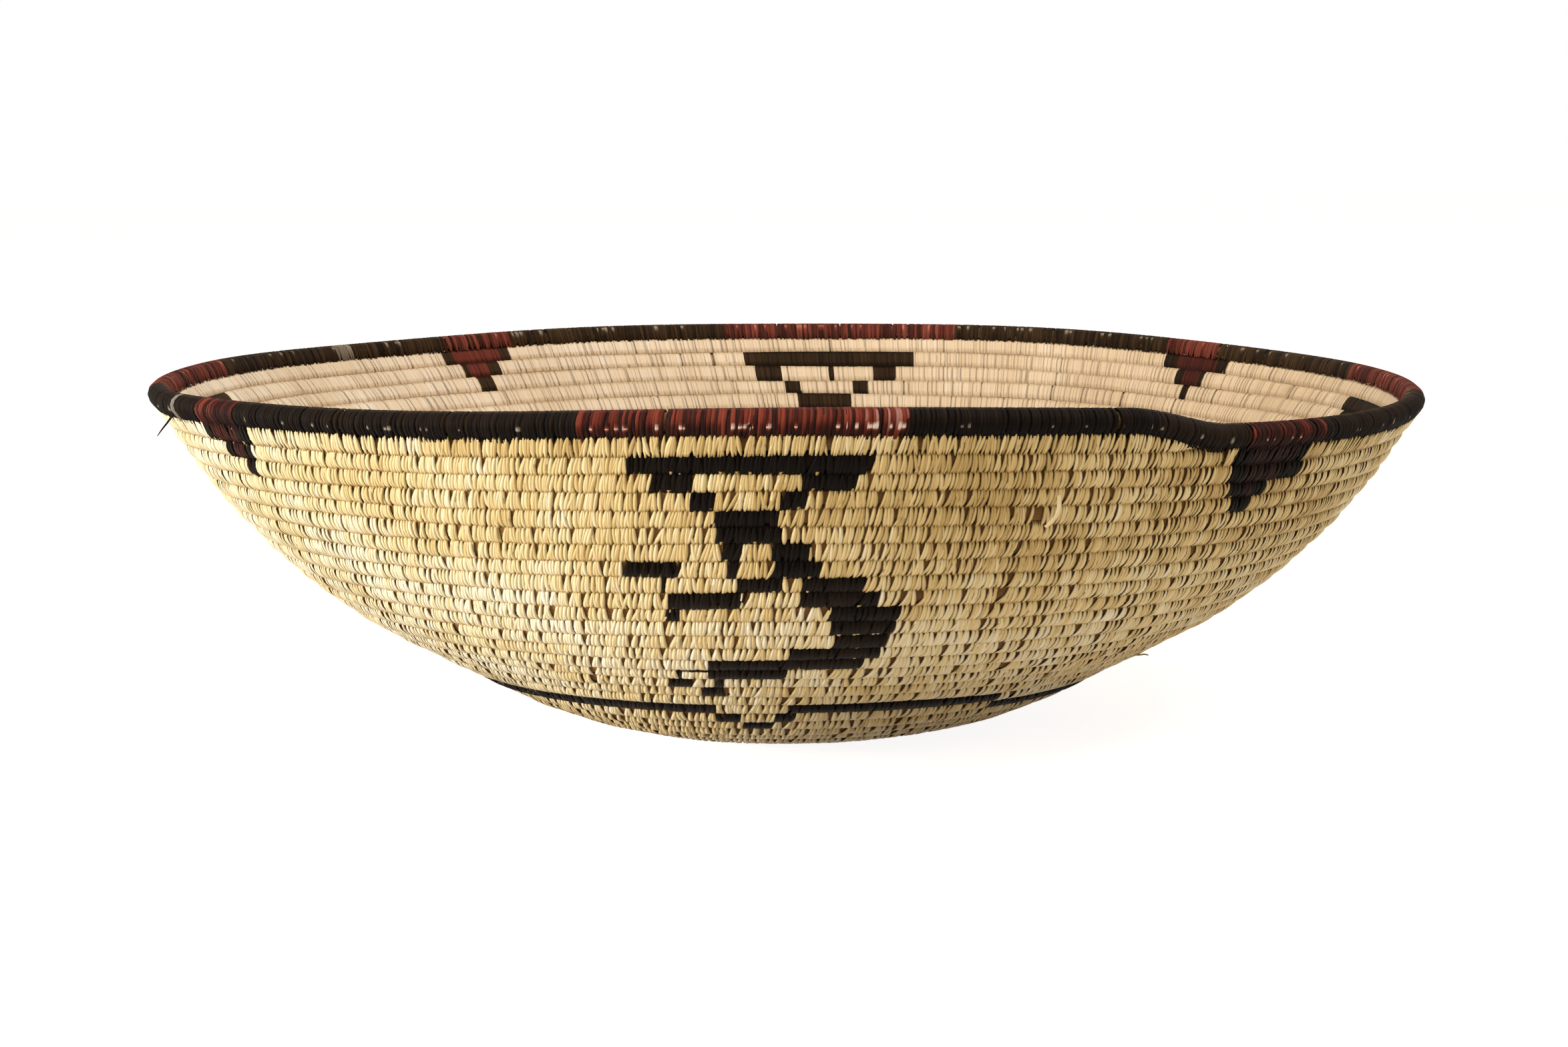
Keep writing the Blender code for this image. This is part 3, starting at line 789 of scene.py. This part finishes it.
def sewWall():
    # each course is sewn into the one before it; returns the places of the rim's turns
    count = int(round(math.tau * radiusAt(seam(0.5)) / strand["spacing"]))
    shares = (np.arange(count) + 0.5) / count
    total = 0
    for turn in range(coil["turns"]):
        azimuth = azimuthAt(shares)
        leans = leanAt(azimuth) + chance.normal(0, strand["unevenLean"], len(shares))
        total += makeCourse(turn, shares, leans)
        here, above = seam(turn + 0.5), seam(turn + 1.5)
        shares = nextShares(shares, leans, above - here, radiusAt(here), radiusAt(above))
    print("courses sewn with", total, "stitches")
    return shares


rimShares = sewWall()


# The start knot: strands fan out from a small hole in the middle
knot = {
    "stitches": 18,
    "hole": 0.0007,
    "widthShare": 0.62,
    "crown": 0.0003,
    "lean": 0.1,
    "under": 0.0001,
    "unevenDepth": 0.0001,
    "unevenSide": 0.08,  # of the spacing
    "unevenWidth": 0.08,
    "unevenLean": 0.05,
    "run": 6,            # stitches of one tone
    "stations": 33,      # sections of its stems
}


def makeKnot():
    count = knot["stitches"]
    share = (np.arange(count) + 0.5 + chance.normal(0, knot["unevenSide"], count)) / count
    low = np.full(count, knot["hole"])
    high = seam(share)
    azimuth = azimuthAt(share)
    half = bowl["wall"] / 2 - knot["under"] - np.abs(chance.normal(0, knot["unevenDepth"], count))
    width = math.tau * knotRadius / count * knot["widthShare"]
    width = width * (1 + chance.normal(0, knot["unevenWidth"], count))
    lean = chance.normal(knot["lean"], knot["unevenLean"], count)
    verts = makeLoops(coursePath, low, high, half, azimuth, width, lean, np.zeros(count), knot["crown"])
    stations = np.linspace(0, 1, knot["stations"])
    core = makeBundle(azimuthAt(stations), np.full(len(stations), knot["hole"]),
                      seam(stations), np.full(len(stations), bowl["wall"] / 2))
    tone = toneRuns(count, knot["run"])
    stitches = sewing(verts, np.full(len(verts), straw), tone, bundle["bakeStrip"])
    makePiece("sewn_start_knot", "start_knot", "straw_sewing", stitches, core)


makeKnot()
print("start knot made")


# The rim: stems and their close winding, in sixteen bands
rim = {
    "widthShare": 1.02,
    "crown": 0.00024,
    "lean": 0.08,
    "bite": 0.0010,
    "unevenBite": (0.5, 1.4),  # times that
    "unevenDepth": 0.00008,
    "unevenWidth": 0.05,
    "unevenLean": 0.03,
    "run": 14,  # turns of the winding from one leaf
    "spread": {red: 0.26, black: 0.10},  # of the tones from stitch to stitch
    "palest": {red: 0.72, black: 0.68},
    # painted shade: the outer side of the rim is darker from its top down to its underside
    "undersideShade": ((1.0, 0.0), (0.55, -0.05), (0.2, -0.20), (-0.1, -0.36), (-1.0, -0.48)),
    "insideLift": {red: -0.14, black: -0.10},
    "wornPatches": ((-64.0, 0.5), (-126.2, 1.2)),  # azimuths and half widths of two patches worn to grey
    "wornTone": 0.9,
    "bandTone": {"front_left_red": -0.4, "front_right_red": -0.3},
    # share of the stitches with a pale spot, on some bands and on the others: worn dye on the red, and partly
    # a painted glint on the black
    "flecks": {"front_left_red": 0.0, "front_red": 0.24, "back_red": 0.2, "back_black_right": 0.14,
               "back_black_left": 0.14},
    "fleckShare": 0.08,
    "fleckPoints": (3, 10),  # of a stitch's loop, on the outer side and on the inner side
}


def makeRim():
    count = len(rimShares)
    start = rimBands[0][1]
    azimuth = start + (azimuthAt(rimShares) - start) % 360
    middle = rimMiddle(azimuth)
    low, high = middle - coil["rimHeight"] / 2, middle + coil["rimHeight"] / 2
    half = coil["rimWidth"] / 2 - np.abs(chance.normal(0, rim["unevenDepth"], count))
    width = rim["widthShare"] * strandWidths(rimShares, bowl["rimRadius"], rim["unevenWidth"])
    lean = rim["lean"] + chance.normal(0, rim["unevenLean"], count)
    bite = rim["bite"] * chance.uniform(*rim["unevenBite"], count)
    tone = toneRuns(count, rim["run"])
    heights, shifts = np.array(rim["undersideShade"]).T
    undersideShade = np.interp(-rimPath[:, 0], -heights, shifts)
    starts = [bandStart for _, bandStart in rimBands] + [start + 360]
    for (name, bandStart), bandEnd in zip(rimBands, starts[1:]):
        own = (azimuth >= bandStart) & (azimuth < bandEnd)
        number = own.sum()
        verts = makeLoops(rimPath, low[own], high[own], half[own], azimuth[own], width[own], lean[own],
                          bite[own], rim["crown"])
        dye = red if name.endswith("red") else black
        # painted shade down the outer side of the rim
        shift = np.where(rimPath[:, 1] < 0, rim["insideLift"][dye], undersideShade)
        shift = shift + rim["bandTone"].get(name, 0)
        shades = tone[own][:, None] + shift + chance.normal(0, rim["spread"][dye], (number, 1))
        shades = np.clip(shades, toneSpread["least"], rim["palest"][dye])
        for patchAzimuth, reach in rim["wornPatches"]:
            shades[np.abs(degreesAside(azimuth[own], patchAzimuth)) < reach] = rim["wornTone"]
        # pale spots: worn dye, and on the black bands partly a painted glint
        for point in rim["fleckPoints"]:
            worn = chance.random(number) < rim["flecks"].get(name, rim["fleckShare"])
            shades[worn, point] = 1
        stitches = sewing(verts, np.full(len(verts), dye), shades, 0)
        makePiece("wound_" + name, "rim_wrap_" + name, sewingSlots[dye], stitches)
    return count


print("rim wound with", makeRim(), "turns")


rimStems = {
    "stations": 280,     # sections round the rim
    "lower": 0.0009,     # than half the rim's height
    "narrower": 0.0003,  # than half its width
}


def makeRimStems():
    azimuth = azimuthAt(np.linspace(0, 1, rimStems["stations"]))
    middle = rimMiddle(azimuth)
    tall = coil["rimHeight"] / 2 - rimStems["lower"]
    half = np.full(rimStems["stations"], coil["rimWidth"] / 2 - rimStems["narrower"])
    core = makeBundle(azimuth, middle - tall, middle + tall, half)
    makePiece("rim_stems", "rim_stem_bundle", "foundation_stems", core)


makeRimStems()
print("rim stems laid")


# Loose strand ends: the way of each goes down from the rim's middle, off the wall's middle and along the
# course, in millimetres, like its width
looseStrands = (
    {"side": "left", "dye": black, "tone": 0.5, "azimuth": -65.0, "width": 1.0, "tip": 0.3,
     "way": ((0.2, 3.0, 0.2), (1.2, 4.2, -0.2), (2.0, 6.0, -0.6), (2.9, 8.2, -1.3), (4.0, 10.2, -2.4))},
    {"side": "front_right", "dye": straw, "tone": 0.42, "azimuth": 22.0, "width": 1.4, "tip": 0.9,
     "way": ((20.6, 2.2, 0.5), (22.6, 3.8, 0.5), (24.6, 4.7, 0.4), (26.4, 5.0, 0.0), (28.2, 4.9, -0.7),
             (30.2, 4.4, -1.5))},
    {"side": "low_right", "dye": straw, "tone": 0.02, "azimuth": 66.0, "width": 1.2, "tip": 0.7,
     "way": ((119.0, 2.4, 0.0), (117.4, 3.1, 0.1), (116.0, 3.5, 0.2), (115.0, 4.3, 0.3))},
)
looseShape = {
    "steps": 25,     # sections of a strand
    "corners": 8,    # of a section
    "flat": 0.45,    # thickness, as a share of the width
    "smoothing": 4,  # rounds that smooth its way
    "fibres": 4,     # repeats of the fibre pattern
}


def makeLooseStrand(loose):
    # a flat strip swept along the smoothed places; at share s of its way its width is 1 - (1 - tip) s^2
    # times that at its root
    steps, corners = looseShape["steps"], looseShape["corners"]
    count = steps * corners
    way = np.array(loose["way"]) / millimetres
    path = np.stack([np.interp(np.linspace(0, len(way) - 1, steps), np.arange(len(way)), way[:, k])
                     for k in range(3)], -1)
    for _ in range(looseShape["smoothing"]):
        path[1:-1] = (path[:-2] + 2 * path[1:-1] + path[2:]) / 4
    ahead = np.gradient(path, axis=0)
    ahead = ahead / np.linalg.norm(ahead, axis=1)[:, None]
    side = np.cross(ahead, [0, 1, 0])
    side = side / (np.linalg.norm(side, axis=1)[:, None] + tiny)
    up = np.cross(side, ahead)
    share = np.linspace(0, 1, steps)
    reach = loose["width"] / (2 * millimetres) * (1 - (1 - loose["tip"]) * share ** 2)
    turn = math.tau * np.arange(corners) / corners
    ring = (path[:, None] + side[:, None] * (reach[:, None] * np.cos(turn))[..., None]
            + up[:, None] * (reach[:, None] * looseShape["flat"] * np.sin(turn))[..., None])
    arc = fullArc - ring[..., 0]
    verts = wallPoints(arc, ring[..., 1], loose["azimuth"] + np.degrees(ring[..., 2] / radiusAt(arc)))
    quads, ends, along, around = tubeFaces(steps, corners)
    maps = np.stack([around / corners, along / steps], -1).reshape(-1, 2)
    makePiece("loose_strand_" + loose["side"], "loose_end_" + loose["side"], sewingSlots[loose["dye"]], {
        "verts": verts.reshape(-1, 3), "quads": quads, "ends": ends, "dye": np.full(len(quads), loose["dye"]),
        "tone": np.full(count, loose["tone"]), "inside": np.zeros(count),
        "ridge": np.full(count, bundle["ridge"]), "fibre": maps * looseShape["fibres"],
        "bake": maps * bakeCell["tall"] + bakeCell["margin"]})


for loose in looseStrands:
    makeLooseStrand(loose)
print("loose strand ends made")


# Stage, camera and light
def seenDirectly(tree):
    # 1 for a ray that shows the surround, also in a reflection or through glass, and 0 for its light
    path = addNode(tree, "LightPath").outputs
    seen = addNode(tree, "Math", {0: path["Is Camera Ray"], 1: path["Is Glossy Ray"]}, operation="MAXIMUM")
    return addNode(tree, "Math", {0: seen, 1: path["Is Transmission Ray"]}, operation="MAXIMUM")


paperSweep = {
    "reach": 6.0,
    "below": 0.0003,  # the base
    "paper": "#D2CABC",
    "glow": 0.90,     # brings it to white in the picture alone
}


def makeFloor():
    mesh = bpy.data.meshes.new("floor")
    reach = paperSweep["reach"]
    mesh.from_pydata([(-reach, -reach, 0), (reach, -reach, 0), (reach, reach, 0), (-reach, reach, 0)], [],
                     [(0, 1, 2, 3)])
    material = bpy.data.materials.new("white_paper_sweep")
    tree = emptyTree(material)
    strength = addNode(tree, "Math", {0: seenDirectly(tree), 1: paperSweep["glow"]}, operation="MULTIPLY")
    glow = addNode(tree, "Emission", {"Color": (1, 1, 1, 1), "Strength": strength})
    paper = addNode(tree, "BsdfDiffuse", {"Color": linearColour(paperSweep["paper"])})
    both = addNode(tree, "AddShader", {0: glow, 1: paper})
    addNode(tree, "OutputMaterial", {"Surface": both})
    mesh.materials.append(material)
    floor = placeObject("floor", mesh)
    floor.location.z = -paperSweep["below"]


studio = {
    "worldLight": 0.25,
    "worldTint": "#FFF2DC",
    "lamps": (  # name, place, size, watts
        ("key", (-1.66, -0.55, 0.18), 0.7, 43),
        ("top", (0.38, -0.68, 1.36), 1.3, 28.5),
    ),
    "target": (0, 0, 0.06),
}


def makeLights():
    world = bpy.data.worlds.new("studio")
    bpy.context.scene.world = world
    tree = emptyTree(world)
    # the surround is plain white to the eye and a faint warm light to the bowl
    seen = seenDirectly(tree)
    strength = addNode(tree, "MapRange", {"Value": seen, "To Min": studio["worldLight"], "To Max": 1.0})
    tint = addNode(tree, "Mix", {"Factor": seen, 6: linearColour(studio["worldTint"]), 7: (1, 1, 1, 1)},
                   data_type="RGBA").outputs[2]
    background = addNode(tree, "Background", {"Color": tint, "Strength": strength})
    addNode(tree, "OutputWorld", {"Surface": background})
    for name, place, size, watts in studio["lamps"]:
        lamp = bpy.data.lights.new(name, "AREA")
        lamp.size = size
        lamp.energy = watts
        lamp.shape = "DISK"
        holder = placeObject(name, lamp)
        holder.location = place
        aim = Vector(studio["target"]) - holder.location
        holder.rotation_euler = aim.to_track_quat("-Z", "Y").to_euler()


camera = {"at": (-0.0022, -1.0684, 0.1991), "pitchDown": 7.122, "roll": -0.55, "lens": 76.2, "sensor": 36}


def makeCamera():
    lens = bpy.data.cameras.new("camera")
    lens.lens = camera["lens"]
    lens.sensor_width = camera["sensor"]
    holder = placeObject("camera", lens)
    holder.location = camera["at"]
    holder.rotation_euler = (math.radians(90 - camera["pitchDown"]), 0, 0)
    holder.rotation_euler.rotate_axis("Z", math.radians(camera["roll"]))
    bpy.context.scene.camera = holder


makeFloor()
makeLights()
makeCamera()
bpy.context.scene.view_settings.view_transform = "Standard"
print("stage set")
